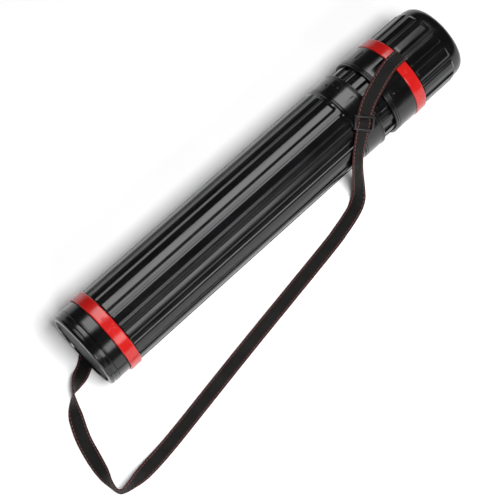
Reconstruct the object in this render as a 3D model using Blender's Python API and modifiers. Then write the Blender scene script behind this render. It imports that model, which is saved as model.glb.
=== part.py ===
"""Telescopic drawing tube with a screw lid, a twist lock and a carrying strap.

The tube lies along +X, base at -X and lid at +X, on its two strap rings, with the floor at Z = 0.
Turned parts are drawn in the tube's own frame: Z runs along the tube, stations are distances on
it, and clock angles are read from the tube's top towards -Y, where the strap lies. Lengths are in
millimetres and are turned into metres where meshes are made.
"""

import math

import bmesh
import bpy
from mathutils import Matrix, Vector

MM = 0.001

# Driving dimensions
BASE_FACE = 7.0
LID_FACE = 482.0
MIDDLE = (BASE_FACE + LID_FACE) / 2
SEGMENTS = 45
RIBS = 15
BARREL_RADIUS = 42.0
LID_RADIUS = 41.9
WALL = 1.2
RING_RADIUS = 44.2
RING_BORE = 41.9
RING_WIDTH = 12.4
POCKET_FLOOR = 39.3
RING_SEAT_RADIUS = 41.5
LOWER_RING_START = 30.8
UPPER_RING_START = 412.0

# Ribs
RIB_PITCH = 360.0 / RIBS
BARREL_RIB_CLOCK = 14.1
LID_RIB_CLOCK = 16.4
GROOVE_WIDTH = 7.0
BARREL_GROOVE_RADIUS = BARREL_RADIUS - 1.4
LID_GROOVE_RADIUS = LID_RADIUS - 1.4

# Telescoping tube and its lock
INNER_RADIUS = 40.5
INNER_GROOVE_RADIUS = 38.4
INNER_GROOVE_WIDTH = 9.4
INNER_BORE = 37.2
RUNNING_RING_WIDTH = 8.0
INNER_START = 48.0
INNER_END = 404.0
CHANNEL_RADIUS = BARREL_RADIUS - WALL
CHANNEL_WIDTH = 8.3
BARREL_BORE = 39.4
RACK_PITCH = 15.0
RACK_STEPS = 18
NOTCH_LENGTH = 7.0
LUG_LENGTH = 5.5
LUG_CENTRE = 356.25
LUG_WIDTH = 5.8
LUG_RADIUS = 38.7
LUGS = 3

# Lid thread: three starts
THREAD_LEAD = 18.0
THREAD_STARTS = 3
THREAD_ARC = 100.0
THREAD_STEPS = 14
NECK_RADIUS = 38.0
NECK_THREAD_BASE = 437.0
LID_BORE = 39.3

# Strap and slider
STRAP_WIDTH = 15.0
STRAP_THICKNESS = 1.2
STRAP_STEP = 6.0
POCKET_WIDTH = STRAP_WIDTH + 3.2
LOWER_LOOP_CLOCK = 210.0
UPPER_LOOP_CLOCK = 2.8
SLIDER_STATION = 351.2
SLIDER_CLOCK = 35.4
SLIDER_BAR_RADIUS = 44.9
SLIDER_BAR_WIDTH = 1.8
SLIDER_BAR_HEIGHT = 1.6
SLIDER_REACH = 6.2
SLIDER_RISE = 2.4
SLIDER_SIDE = 2.0

EDGE_ANGLE = 30.0
FACET_TURN = math.pi / SEGMENTS
AXIS_HEIGHT = RING_RADIUS * math.cos(FACET_TURN)


def clear_scene():
    for obj in list(bpy.data.objects):
        bpy.data.objects.remove(obj, do_unlink=True)


def new_collection(name):
    collection = bpy.data.collections.new(name)
    bpy.context.scene.collection.children.link(collection)
    return collection


def plastic(name, colour, roughness, metallic=0.0):
    material = bpy.data.materials.new(name)
    material.use_nodes = True
    shader = material.node_tree.nodes["Principled BSDF"]
    shader.inputs["Base Color"].default_value = (*colour, 1.0)
    shader.inputs["Roughness"].default_value = roughness
    shader.inputs["Metallic"].default_value = metallic
    return material


clear_scene()
PARTS = new_collection("drawing_tube")
CUTTERS = new_collection("cutters")
BLACK = plastic("black_plastic", (0.012, 0.012, 0.014), 0.28)
RED = plastic("red_plastic", (0.72, 0.035, 0.03), 0.22)
RUBBER = plastic("seal_rubber", (0.03, 0.03, 0.03), 0.7)
WEBBING = plastic("strap_webbing", (0.02, 0.018, 0.018), 0.8)
BUCKLE = plastic("buckle_plastic", (0.03, 0.03, 0.03), 0.4)

TUBE_FRAME = bpy.data.objects.new("tube_axis", None)
TUBE_FRAME.location = Vector((-MIDDLE, 0.0, AXIS_HEIGHT)) * MM
TUBE_FRAME.rotation_euler = (0.0, math.pi / 2, 0.0)
PARTS.objects.link(TUBE_FRAME)


def add_object(name, mesh, material=None, in_tube_frame=True):
    """A part when it has a material, else a cutter."""
    obj = bpy.data.objects.new(name, mesh)
    if material:
        PARTS.objects.link(obj)
        mesh.materials.append(material)
    else:
        CUTTERS.objects.link(obj)
        obj.hide_render = True
        obj.display_type = "WIRE"
    if in_tube_frame:
        obj.parent = TUBE_FRAME
    return obj


def mesh_from(name, bm):
    bmesh.ops.recalc_face_normals(bm, faces=bm.faces)
    mesh = bpy.data.meshes.new(name)
    bm.to_mesh(mesh)
    bm.free()
    return mesh


def turned(name, profile, material=None, touches_axis=False):
    """A profile of (radius, station) pairs, outer side first from lid end to base end, swept round."""
    mesh = bpy.data.meshes.new(name)
    points = [(radius * MM, 0.0, station * MM) for radius, station in profile]
    edges = [(i, i + 1) for i in range(len(points) - 1)]
    if not touches_axis:
        edges.append((len(points) - 1, 0))
    mesh.from_pydata(points, edges, [])
    obj = add_object(name, mesh, material)
    obj.rotation_euler = (0.0, 0.0, FACET_TURN)
    screw = obj.modifiers.new("turn", "SCREW")
    screw.axis = "Z"
    screw.angle = 2 * math.pi
    screw.steps = SEGMENTS
    screw.render_steps = SEGMENTS
    screw.use_merge_vertices = True
    screw.merge_threshold = 0.00001
    screw.use_smooth_shade = False
    return obj


def clock_matrix(clock, station=0.0, radius=0.0):
    """Local X points outward at this clock angle, and Z stays along the tube."""
    turn = Matrix.Rotation(math.radians(clock + 180.0), 4, "Z")
    return turn @ Matrix.Translation(Vector((radius, 0.0, station)) * MM)


def bars(name, clocks, radii, width, stations):
    """Boxes along the tube, one for each clock angle and each (start, end) in stations."""
    bm = bmesh.new()
    for clock in clocks:
        for start, end in stations:
            place = clock_matrix(clock, (start + end) / 2, (radii[0] + radii[1]) / 2)
            size = Vector((radii[1] - radii[0], width, end - start)) * MM
            bmesh.ops.create_cube(bm, size=1.0, matrix=place @ Matrix.Diagonal((*size, 1.0)))
    return add_object(name, mesh_from(name, bm))


def boolean(target, tool, operation="DIFFERENCE"):
    modifier = target.modifiers.new(tool.name, "BOOLEAN")
    modifier.operation = operation
    modifier.solver = "EXACT"
    modifier.object = tool


def as_mesh(curve_object, name):
    """The curve's evaluated mesh with its caps welded, in the same place, and the curve removed."""
    bpy.context.view_layer.update()
    graph = bpy.context.evaluated_depsgraph_get()
    mesh = bpy.data.meshes.new_from_object(curve_object.evaluated_get(graph))
    mesh.name = name
    bm = bmesh.new()
    bm.from_mesh(mesh)
    bmesh.ops.remove_doubles(bm, verts=bm.verts, dist=0.00001)
    bmesh.ops.recalc_face_normals(bm, faces=bm.faces)
    bm.to_mesh(mesh)
    bm.free()
    bpy.data.objects.remove(curve_object, do_unlink=True)
    return mesh


def poly_curve(name, points, closed, dimensions):
    curve = bpy.data.curves.new(name, "CURVE")
    curve.dimensions = dimensions
    spline = curve.splines.new("POLY")
    spline.points.add(len(points) - 1)
    for point, place in zip(spline.points, points):
        point.co = (*(Vector(place) * MM), 1.0)
    spline.use_cyclic_u = closed
    return curve


def pocket_cutter(name, outline, clock, width):
    """An outline of (radius, station) pairs, made into a plate across the tube at this clock angle."""
    curve = poly_curve(name, [(r, s, 0.0) for r, s in outline], True, "2D")
    curve.fill_mode = "BOTH"
    curve.extrude = width / 2 * MM
    holder = bpy.data.objects.new(name, curve)
    CUTTERS.objects.link(holder)
    cutter = add_object(name, as_mesh(holder, name))
    stand_up = Matrix(((1, 0, 0, 0), (0, 0, -1, 0), (0, 1, 0, 0), (0, 0, 0, 1)))
    cutter.matrix_local = clock_matrix(clock) @ stand_up
    return cutter


def thread_ridge(name, radius, ridge_radius, start_station, start_clock):
    """One start of the thread: a round ridge along a right-hand helix."""
    points = []
    for i in range(THREAD_STEPS + 1):
        share = i / THREAD_STEPS
        turn = math.radians(start_clock + THREAD_ARC * share)
        rise = THREAD_LEAD * THREAD_ARC / 360.0 * share
        points.append((radius * math.cos(turn), radius * math.sin(turn), start_station + rise))
    curve = poly_curve(name, points, False, "3D")
    curve.bevel_depth = ridge_radius * MM
    curve.bevel_resolution = 1
    curve.use_fill_caps = True
    holder = bpy.data.objects.new(name, curve)
    CUTTERS.objects.link(holder)
    return add_object(name, as_mesh(holder, name))


def add_thread(target, radius, ridge_radius, start_station):
    for start in range(THREAD_STARTS):
        name = f"{target.name}_thread_{start}"
        clock = 360.0 / THREAD_STARTS * start
        boolean(target, thread_ridge(name, radius, ridge_radius, start_station, clock), "UNION")


def rib_clocks(first_clock, offset=0.0):
    return [first_clock + offset + RIB_PITCH * i for i in range(RIBS)]


def make_base_cap():
    profile = [
        (0.0, BASE_FACE + 3.0), (34.0, BASE_FACE + 3.0), (36.0, 12.0), (36.0, 44.0), (37.2, 44.0),
        (37.7, 43.4), (37.7, 17.7), (41.7, 17.7), (42.1, 17.2), (42.1, 13.0), (41.4, 12.5),
        (41.4, 11.4), (42.0, 10.9), (42.0, 9.9), (41.7, 8.6), (40.9, 7.6), (39.6, 7.1),
        (37.5, BASE_FACE), (0.0, BASE_FACE),
    ]
    return turned("base_cap", profile, BLACK, touches_axis=True)


def make_outer_barrel():
    """The ribbed outer tube. Its inner channels take the inner tube's ribs and run out at the mouth,
    where the walls between them are left as tongues that the lock collar turns on."""
    groove = BARREL_GROOVE_RADIUS
    profile = [
        (groove, 351.0), (groove, 345.0), (42.2, 345.0), (42.2, 343.8), (41.0, 342.8),
        (groove + 0.3, 341.2), (BARREL_RADIUS, 338.6), (BARREL_RADIUS, 43.7),
        (RING_SEAT_RADIUS, 43.6), (RING_SEAT_RADIUS, 30.4), (41.8, 30.2), (41.8, 18.0),
        (38.0, 18.0), (38.0, 46.0), (BARREL_BORE, 47.0),
        (BARREL_BORE, 351.0),
    ]
    barrel = turned("outer_barrel", profile, BLACK)
    grooves = bars("barrel_grooves", rib_clocks(BARREL_RIB_CLOCK, RIB_PITCH / 2), (groove, 46.0),
                   GROOVE_WIDTH, [(44.4, 342.2)])
    channels = bars("barrel_channels", rib_clocks(BARREL_RIB_CLOCK), (36.0, CHANNEL_RADIUS),
                    CHANNEL_WIDTH, [(47.6, 360.0)])
    boolean(barrel, grooves)
    boolean(barrel, channels)
    outline = [(POCKET_FLOOR, 45.4), (48.0, 45.4), (48.0, 22.0), (42.4, 22.0), (POCKET_FLOOR, 30.0)]
    boolean(barrel, pocket_cutter("lower_pocket", outline, LOWER_LOOP_CLOCK, POCKET_WIDTH))
    return barrel


def make_strap_ring(name, start):
    end = start + RING_WIDTH
    edge = RING_RADIUS - 0.5
    profile = [
        (edge, end), (RING_RADIUS, end - 0.6), (RING_RADIUS, start + 0.6), (edge, start),
        (RING_BORE, start), (RING_BORE, end),
    ]
    return turned(name, profile, RED)


def make_lock_collar():
    """Its three lugs ride in the inner tube's grooves, and turn into the notches to lock."""
    profile = [
        (42.4, 368.6), (42.85, 368.2), (42.85, 367.3), (42.1, 366.9), (42.1, 366.5),
        (42.85, 366.1), (42.85, 365.2), (42.3, 364.8), (42.3, 346.0), (42.0, 345.4),
        (40.95, 345.4), (40.95, 368.6),
    ]
    collar = turned("lock_collar", profile, BLACK)
    clocks = [BARREL_RIB_CLOCK + RIB_PITCH / 2 + 360.0 / LUGS * i for i in range(LUGS)]
    span = (LUG_CENTRE - LUG_LENGTH / 2, LUG_CENTRE + LUG_LENGTH / 2)
    boolean(collar, bars("collar_lugs", clocks, (LUG_RADIUS, 41.6), LUG_WIDTH, [span]), "UNION")
    return collar


def make_inner_tube():
    """The ribbed inner tube, with notches across three of its ribs at each length that it locks at."""
    lower_end = INNER_GROOVE_RADIUS - 0.1
    profile = [
        (INNER_RADIUS, INNER_END), (INNER_RADIUS, 83.5), (lower_end, 83.5),
        (lower_end, INNER_START), (INNER_BORE, INNER_START), (INNER_BORE, INNER_END),
    ]
    tube = turned("inner_tube", profile, BLACK)
    grooves = bars("inner_grooves", rib_clocks(BARREL_RIB_CLOCK, RIB_PITCH / 2),
                   (INNER_GROOVE_RADIUS, 44.0), INNER_GROOVE_WIDTH, [(80.0, INNER_END + 4.0)])
    rack_clocks = [BARREL_RIB_CLOCK + RIB_PITCH + 360.0 / LUGS * i for i in range(LUGS)]
    centres = [LUG_CENTRE - RACK_PITCH * i for i in range(-1, RACK_STEPS + 1)]
    spans = [(c - NOTCH_LENGTH / 2, c + NOTCH_LENGTH / 2) for c in centres]
    notches = bars("rack_notches", rack_clocks, (INNER_GROOVE_RADIUS + 0.05, 44.0), 10.0, spans)
    boolean(tube, grooves)
    boolean(tube, notches)
    return tube


def make_running_ring(name, start):
    """A ribbed ring on the inner tube's lower end that runs in the barrel's channels."""
    end = start + RUNNING_RING_WIDTH
    profile = [
        (INNER_RADIUS, end), (INNER_RADIUS, start), (INNER_GROOVE_RADIUS + 0.2, start),
        (INNER_GROOVE_RADIUS + 0.2, end),
    ]
    ring = turned(name, profile, BLACK)
    clocks = rib_clocks(BARREL_RIB_CLOCK, RIB_PITCH / 2)
    grooves = bars(name + "_grooves", clocks, (39.0, 44.0), INNER_GROOVE_WIDTH,
                   [(start - 2.0, end + 2.0)])
    boolean(ring, grooves)
    return ring


def make_tube_head():
    """The fixed head on the inner tube's top, with the upper ring's seat and the threaded neck."""
    profile = [
        (36.9, 463.0), (37.6, 463.0), (NECK_RADIUS, 462.4), (NECK_RADIUS, 431.2), (37.0, 431.0),
        (37.0, 428.0), (NECK_RADIUS, 427.8), (NECK_RADIUS, 425.6), (41.9, 425.6), (41.9, 424.9),
        (RING_SEAT_RADIUS, 424.8), (RING_SEAT_RADIUS, 411.6), (43.4, 411.6), (43.4, 389.4),
        (42.7, 388.9), (42.7, 388.4), (43.5, 387.9), (43.5, 387.0), (42.7, 386.6), (42.7, 386.2),
        (43.5, 385.8), (43.5, 384.9), (43.1, 384.4), (INNER_RADIUS + 0.35, 384.4),
        (INNER_RADIUS + 0.35, 404.4), (36.0, 404.4), (36.0, 462.2),
    ]
    head = turned("tube_head", profile, BLACK)
    outline = [
        (POCKET_FLOOR, 410.5), (POCKET_FLOOR, 426.4), (48.0, 426.4), (48.0, 400.0), (43.8, 400.0),
    ]
    boolean(head, pocket_cutter("upper_pocket", outline, UPPER_LOOP_CLOCK, POCKET_WIDTH))
    add_thread(head, NECK_RADIUS + 0.05, 0.8, NECK_THREAD_BASE)
    return head


def make_neck_seal():
    bpy.ops.mesh.primitive_torus_add(
        major_segments=SEGMENTS, minor_segments=6, major_radius=38.1 * MM, minor_radius=0.85 * MM)
    torus = bpy.context.object
    mesh = torus.data
    bpy.data.objects.remove(torus, do_unlink=True)
    seal = add_object("neck_seal", mesh, RUBBER)
    mesh.name = "neck_seal"
    seal.location = (0.0, 0.0, 429.5 * MM)
    seal.rotation_euler = (0.0, 0.0, FACET_TURN)
    return seal


def make_lid():
    """The ribbed screw lid: a turned shell whose ribs end in slopes at the rounded shoulder."""
    groove = LID_GROOVE_RADIUS
    profile = [
        (0.0, LID_FACE), (33.0, LID_FACE), (36.6, 481.2), (39.4, 478.2), (40.6, 473.6),
        (groove + 0.3, 468.4), (LID_RADIUS, 465.4), (LID_RADIUS, 427.0), (LID_RADIUS - 0.3, 426.6),
        (LID_BORE, 426.6), (LID_BORE, 470.0), (38.0, 474.4), (34.5, LID_FACE - 3.0),
        (0.0, LID_FACE - 3.0),
    ]
    lid = turned("lid", profile, BLACK, touches_axis=True)
    grooves = bars("lid_grooves", rib_clocks(LID_RIB_CLOCK, RIB_PITCH / 2), (groove, 46.0),
                   GROOVE_WIDTH, [(424.0, 467.8)])
    boolean(lid, grooves)
    add_thread(lid, LID_BORE + 0.1, 0.75, NECK_THREAD_BASE - THREAD_LEAD / THREAD_STARTS / 2)
    return lid


def on_tube(station, clock, radius):
    """A point over the tube's surface and the outward direction there, in world millimetres."""
    turn = math.radians(clock)
    outward = Vector((0.0, -math.sin(turn), math.cos(turn)))
    centre = Vector((station - MIDDLE, 0.0, AXIS_HEIGHT))
    return centre + outward * radius, outward


def lying(x, y, z, outward):
    """A point of the strap away from the tube, and the way its outer face looks there."""
    return Vector((x, y, z)), Vector(outward).normalized()


def strap_samples(route):
    """Points and outward directions every few millimetres along a smooth curve through the route."""
    samples = []
    last = len(route) - 1
    for i in range(last):
        knots = [route[max(i - 1, 0)], route[i], route[i + 1], route[min(i + 2, last)]]
        pieces = max(1, round((knots[2][0] - knots[1][0]).length / STRAP_STEP))
        for k in range(pieces + (i == last - 1)):
            t = k / pieces
            weights = (
                (-t + 2 * t * t - t ** 3) / 2,
                (2 - 5 * t * t + 3 * t ** 3) / 2,
                (t + 4 * t * t - 3 * t ** 3) / 2,
                (-t * t + t ** 3) / 2,
            )
            point = sum((w * knot[0] for w, knot in zip(weights, knots)), Vector())
            outward = sum((w * knot[1] for w, knot in zip(weights, knots)), Vector())
            samples.append((point, outward.normalized()))
    return samples


def make_strap(name, route):
    """Flat webbing swept along its route as one closed ribbon."""
    samples = strap_samples(route)
    bm = bmesh.new()
    rings = []
    for i, (point, outward) in enumerate(samples):
        along = samples[min(i + 1, len(samples) - 1)][0] - samples[max(i - 1, 0)][0]
        across = along.cross(outward).normalized() * STRAP_WIDTH / 2
        up = across.cross(along).normalized() * STRAP_THICKNESS / 2
        corners = (across + up, up - across, -across - up, across - up)
        rings.append([bm.verts.new((point + corner) * MM) for corner in corners])
    for ring, following in zip(rings, rings[1:]):
        for k in range(4):
            bm.faces.new((ring[k], ring[(k + 1) % 4], following[(k + 1) % 4], following[k]))
    bm.faces.new(rings[0])
    bm.faces.new(list(reversed(rings[-1])))
    return add_object(name, mesh_from(name, bm), WEBBING, in_tube_frame=False)


# From the slider's middle bar up to the ring, round it, back through the slider and to the floor.
UPPER_STRAP_ROUTE = [
    on_tube(351.8, 34.6, 43.2),
    on_tube(357.0, 29.0, 43.3),
    on_tube(363.5, 23.3, 43.7),
    on_tube(371.0, 18.6, 43.9),
    on_tube(378.8, 15.0, 44.1),
    on_tube(386.5, 11.6, 44.5),
    on_tube(394.3, 8.4, 44.5),
    on_tube(401.0, 5.0, 44.5),
    on_tube(406.0, 3.6, 42.7),
    on_tube(410.8, 3.0, 40.3),
    on_tube(417.0, 2.8, 40.1),
    on_tube(424.0, 2.8, 40.1),
    (on_tube(425.4, 2.8, 41.6)[0], Vector((0.8, 0.0, -0.6))),
    (on_tube(425.4, 2.8, 44.2)[0], Vector((0.8, 0.0, 0.6))),
    on_tube(424.0, 2.8, 45.1),
    on_tube(417.0, 2.8, 45.1),
    on_tube(411.0, 3.2, 45.2),
    on_tube(402.0, 5.8, 45.8),
    on_tube(394.3, 8.4, 46.0),
    on_tube(386.5, 11.6, 46.0),
    on_tube(378.8, 15.0, 45.7),
    on_tube(371.0, 18.6, 45.5),
    on_tube(363.5, 23.3, 45.3),
    on_tube(355.4, 30.1, 45.0),
    on_tube(351.2, 35.4, 46.6),
    on_tube(347.4, 40.7, 45.0),
    on_tube(341.7, 49.3, 44.0),
    on_tube(336.5, 58.0, 43.5),
    on_tube(332.0, 67.5, 43.7),
    on_tube(328.6, 77.5, 44.6),
    lying(81.5, -47.2, 41.0, (0.0, -1.0, 0.1)),
    lying(80.1, -50.6, 26.0, (0.0, -0.97, 0.25)),
    lying(77.5, -55.2, 12.5, (-0.1, -0.85, 0.5)),
    lying(72.5, -60.4, 4.2, (-0.1, -0.35, 0.93)),
    lying(63.5, -65.2, 1.2, (0.0, 0.0, 1.0)),
    lying(49.5, -69.4, 0.95, (0.0, 0.0, 1.0)),
    lying(35.5, -72.6, 0.95, (0.0, 0.0, 1.0)),
]

# Along the floor to the fold, back to the base with a half twist, and round the lower ring.
LOWER_STRAP_ROUTE = [
    lying(35.1, -72.7, 0.95, (0.0, 0.0, 1.0)),
    lying(22.2, -75.3, 0.95, (0.0, 0.0, 1.0)),
    lying(-19.0, -81.5, 0.95, (0.0, 0.0, 1.0)),
    lying(-100.0, -93.3, 0.95, (0.0, 0.0, 1.0)),
    lying(-159.5, -102.4, 0.95, (0.0, 0.0, 1.0)),
    lying(-217.5, -111.5, 0.95, (0.0, 0.0, 1.0)),
    lying(-242.5, -115.0, 1.6, (0.0, -0.08, 1.0)),
    lying(-266.5, -117.6, 3.9, (-0.02, -0.4, 0.9)),
    lying(-285.5, -118.8, 7.5, (-0.1, -0.9, 0.42)),
    lying(-295.0, -118.4, 8.3, (-0.45, -0.88, 0.12)),
    lying(-299.1, -114.8, 8.3, (-1.0, -0.25, 0.1)),
    lying(-299.3, -106.0, 8.0, (-0.95, 0.0, 0.3)),
    lying(-297.5, -92.0, 5.7, (-0.6, 0.0, 0.8)),
    lying(-294.0, -73.0, 2.4, (-0.15, 0.0, 1.0)),
    lying(-289.0, -53.5, 1.5, (0.0, 0.0, 1.0)),
    lying(-281.0, -35.0, 3.7, (-0.2, 0.15, 0.95)),
    lying(-273.0, -22.5, 6.9, (-0.7, 0.45, 0.55)),
    lying(-265.0, -14.0, 8.4, (-0.68, 0.73, -0.05)),
    lying(-256.5, -8.6, 6.0, (-0.45, 0.6, -0.65)),
    lying(-248.0, -4.6, 1.9, (-0.1, 0.15, -1.0)),
    lying(-240.5, -0.6, 1.05, (0.0, 0.0, -1.0)),
    lying(-233.0, 5.0, 1.15, (0.0, 0.06, -1.0)),
    lying(-225.5, 12.4, 2.1, (0.0, 0.2, -0.98)),
    lying(-218.0, 19.2, 3.3, (0.0, 0.4, -0.92)),
    on_tube(31.0, LOWER_LOOP_CLOCK, 45.4),
    on_tube(37.0, LOWER_LOOP_CLOCK, 45.1),
    on_tube(43.2, LOWER_LOOP_CLOCK, 45.1),
    (on_tube(44.5, LOWER_LOOP_CLOCK, 44.2)[0], Vector((0.8, 0.3, -0.52))),
    (on_tube(44.5, LOWER_LOOP_CLOCK, 41.6)[0], Vector((0.8, -0.3, 0.52))),
    (on_tube(43.2, LOWER_LOOP_CLOCK, 40.1)[0], -on_tube(0.0, LOWER_LOOP_CLOCK, 1.0)[1]),
    (on_tube(37.0, LOWER_LOOP_CLOCK, 40.1)[0], -on_tube(0.0, LOWER_LOOP_CLOCK, 1.0)[1]),
    (on_tube(30.0, LOWER_LOOP_CLOCK, 40.1)[0], -on_tube(0.0, LOWER_LOOP_CLOCK, 1.0)[1]),
    (on_tube(26.0, LOWER_LOOP_CLOCK, 42.0)[0], -on_tube(0.0, LOWER_LOOP_CLOCK, 1.0)[1]),
    (on_tube(24.8, LOWER_LOOP_CLOCK, 42.4)[0], -on_tube(0.0, LOWER_LOOP_CLOCK, 1.0)[1]),
]


def make_slider():
    """A three-bar slider: the webbing runs under its end bars and over its middle bar."""
    centre, outward = on_tube(SLIDER_STATION, SLIDER_CLOCK, SLIDER_BAR_RADIUS)
    before = on_tube(355.4, 30.1, SLIDER_BAR_RADIUS)[0]
    after = on_tube(347.4, 40.7, SLIDER_BAR_RADIUS)[0]
    along = (before - after).normalized()
    across = along.cross(outward).normalized()
    up = across.cross(along)
    place = Matrix((across, along, up)).transposed().to_4x4()
    place.translation = centre * MM
    side = STRAP_WIDTH / 2 + SLIDER_SIDE
    bar = (2 * side, SLIDER_BAR_WIDTH, SLIDER_BAR_HEIGHT)
    cheek = (SLIDER_SIDE, 2 * SLIDER_REACH + SLIDER_BAR_WIDTH, SLIDER_RISE + SLIDER_BAR_HEIGHT)
    boxes = [
        ((0.0, 0.0, 0.0), bar),
        ((0.0, SLIDER_REACH, SLIDER_RISE), bar),
        ((0.0, -SLIDER_REACH, SLIDER_RISE), bar),
        ((side, 0.0, SLIDER_RISE / 2), cheek),
        ((-side, 0.0, SLIDER_RISE / 2), cheek),
    ]
    made = []
    for index, (middle, size) in enumerate(boxes):
        bm = bmesh.new()
        scale = Matrix.Diagonal((*(Vector(size) * MM), 1.0))
        bmesh.ops.create_cube(bm, size=1.0, matrix=Matrix.Translation(Vector(middle) * MM) @ scale)
        name = "strap_slider" if index == 0 else f"slider_bar_{index}"
        obj = add_object(name, mesh_from(name, bm), BUCKLE if index == 0 else None, False)
        obj.matrix_world = place
        made.append(obj)
    for piece in made[1:]:
        boolean(made[0], piece, "UNION")
    return made[0]


def shade_round(obj):
    """Applies the modifiers and shades the faces smooth, except across real edges."""
    graph = bpy.context.evaluated_depsgraph_get()
    mesh = bpy.data.meshes.new_from_object(obj.evaluated_get(graph))
    mesh.name = obj.name
    obj.modifiers.clear()
    obj.data = mesh
    mesh.shade_smooth()
    mesh.set_sharp_from_angle(angle=math.radians(EDGE_ANGLE))


make_base_cap()
make_outer_barrel()
make_strap_ring("lower_strap_ring", LOWER_RING_START)
make_lock_collar()
make_inner_tube()
make_running_ring("guide_ring", INNER_START + 0.3)
make_running_ring("stop_ring", 75.2)
make_tube_head()
make_strap_ring("upper_strap_ring", UPPER_RING_START)
make_neck_seal()
make_lid()
make_strap("strap_upper", UPPER_STRAP_ROUTE)
make_strap("strap_lower", LOWER_STRAP_ROUTE)
make_slider()
bpy.context.view_layer.update()
for part in PARTS.objects:
    if part.type == "MESH":
        shade_round(part)
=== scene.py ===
import math

import bmesh
import bpy
import numpy as np
from mathutils import Matrix, Vector


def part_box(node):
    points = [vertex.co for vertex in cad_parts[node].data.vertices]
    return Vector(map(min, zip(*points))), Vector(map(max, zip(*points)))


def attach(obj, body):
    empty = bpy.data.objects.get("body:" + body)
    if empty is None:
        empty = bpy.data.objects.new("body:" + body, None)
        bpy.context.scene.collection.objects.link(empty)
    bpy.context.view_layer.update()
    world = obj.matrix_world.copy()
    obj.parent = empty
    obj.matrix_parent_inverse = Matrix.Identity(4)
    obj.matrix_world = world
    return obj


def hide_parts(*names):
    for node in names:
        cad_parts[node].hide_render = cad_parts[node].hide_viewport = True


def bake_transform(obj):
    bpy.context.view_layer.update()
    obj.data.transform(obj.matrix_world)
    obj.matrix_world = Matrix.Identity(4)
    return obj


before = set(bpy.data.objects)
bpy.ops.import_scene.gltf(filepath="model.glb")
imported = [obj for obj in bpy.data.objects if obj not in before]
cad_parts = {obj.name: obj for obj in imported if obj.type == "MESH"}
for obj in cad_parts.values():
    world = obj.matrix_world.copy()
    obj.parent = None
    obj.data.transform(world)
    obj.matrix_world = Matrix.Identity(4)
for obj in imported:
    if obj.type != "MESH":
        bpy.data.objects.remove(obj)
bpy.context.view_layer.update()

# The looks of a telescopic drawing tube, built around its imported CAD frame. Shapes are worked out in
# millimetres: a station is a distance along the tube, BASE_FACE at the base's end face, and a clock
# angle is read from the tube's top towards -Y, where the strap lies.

MM = 0.001

# Stations of the closed tube's end faces
BASE_FACE = 7.0
LID_FACE = 482.0

# Places read from the frame
BASE_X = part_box("base_cap")[0].x / MM - BASE_FACE
RING_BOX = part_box("lower_strap_ring")
AXIS_HEIGHT = (RING_BOX[0].z + RING_BOX[1].z) / 2 / MM

# Driving dimensions of the moulded pieces
RIBS = 15
PITCH = 360.0 / RIBS
BARREL_RADIUS = 42.0
BARREL_GROOVE = 40.6
BARREL_BORE = 39.4
BARREL_CLOCK = 14.1
RIB_HALF_WIDTH = 7.15       # degrees, on the barrel and the lid
RIB_SLOPE = 1.4
LID_RADIUS = 41.9
LID_GROOVE = 40.5
LID_CLOCK = 16.4
INNER_RADIUS = 40.5
INNER_GROOVE = 38.4
INNER_CLEAR_BORE = 37.2
COLLAR_RADIUS = 42.3
HEAD_RADIUS = 43.4
RING_RADIUS = 44.15
RING_WIDTH = 12.4
RING_SEAT = 41.5
LOWER_RING_START = 30.8
UPPER_RING_START = 412.0
RACK_PITCH = 15.0
RACK_STEPS = 18
NOTCH_FLOOR = 0.05          # above the inner tube's grooves
LOCK_STATION = 356.25
LOWER_LOOP_CLOCK = 210.0
UPPER_LOOP_CLOCK = 2.8
POCKET_FLOOR = 39.3
POCKET_HALF_ANGLE = math.degrees(9.1 / RING_SEAT)
DISH_RADIUS = 36.4
DISH_FLOOR = BASE_FACE + 1.7
THREAD_LEAD = 18.0
THREAD_STARTS = 3
MARK_SINK = 0.1
MARK_HEIGHT = 0.7

# Webbing
STRAP_WIDTH = 15.0
STRAP_THICKNESS = 1.1
RIBBED_HALF_WIDTH = 5.5
RIB_STEP = 1.84
ROWS_PER_RIB = 6
RIB_HEIGHT = 0.30
RIB_SINK = 0.16
EDGE_YARN = 6.9
STITCH_STEP = 3.76
STITCH_LINE = 5.75
STITCH_LIFT = 0.56
STITCH_MARGIN = 3.0
CORD_PATH_STEP = 4.0

# The slider's middle, and where the webbing enters and leaves it, as (station, clock)
SLIDER_MIDDLE = (351.2, 35.4)
SLIDER_TOP = (355.4, 30.1)
SLIDER_FOOT = (347.4, 40.7)


# ---------------------------------------------------------------- camera

def make_camera():
    """A long lens high over the tube's base end, on the strap's side."""
    right = Vector((0.7256, -0.6881, 0.0))
    look = Vector((0.2198, 0.2318, -0.9476)).normalized()
    up = right.cross(look).normalized()
    right = look.cross(up).normalized()
    data = bpy.data.cameras.new("camera")
    data.lens = 116.8
    data.sensor_width = 36.0
    camera = bpy.data.objects.new("camera", data)
    bpy.context.scene.collection.objects.link(camera)
    place = Matrix((right, up, -look)).transposed().to_4x4()
    place.translation = Vector((-396.3, -397.5, 1524.0)) * MM
    camera.matrix_world = place
    bpy.context.scene.camera = camera


make_camera()


# ---------------------------------------------------------------- mesh tools

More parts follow.
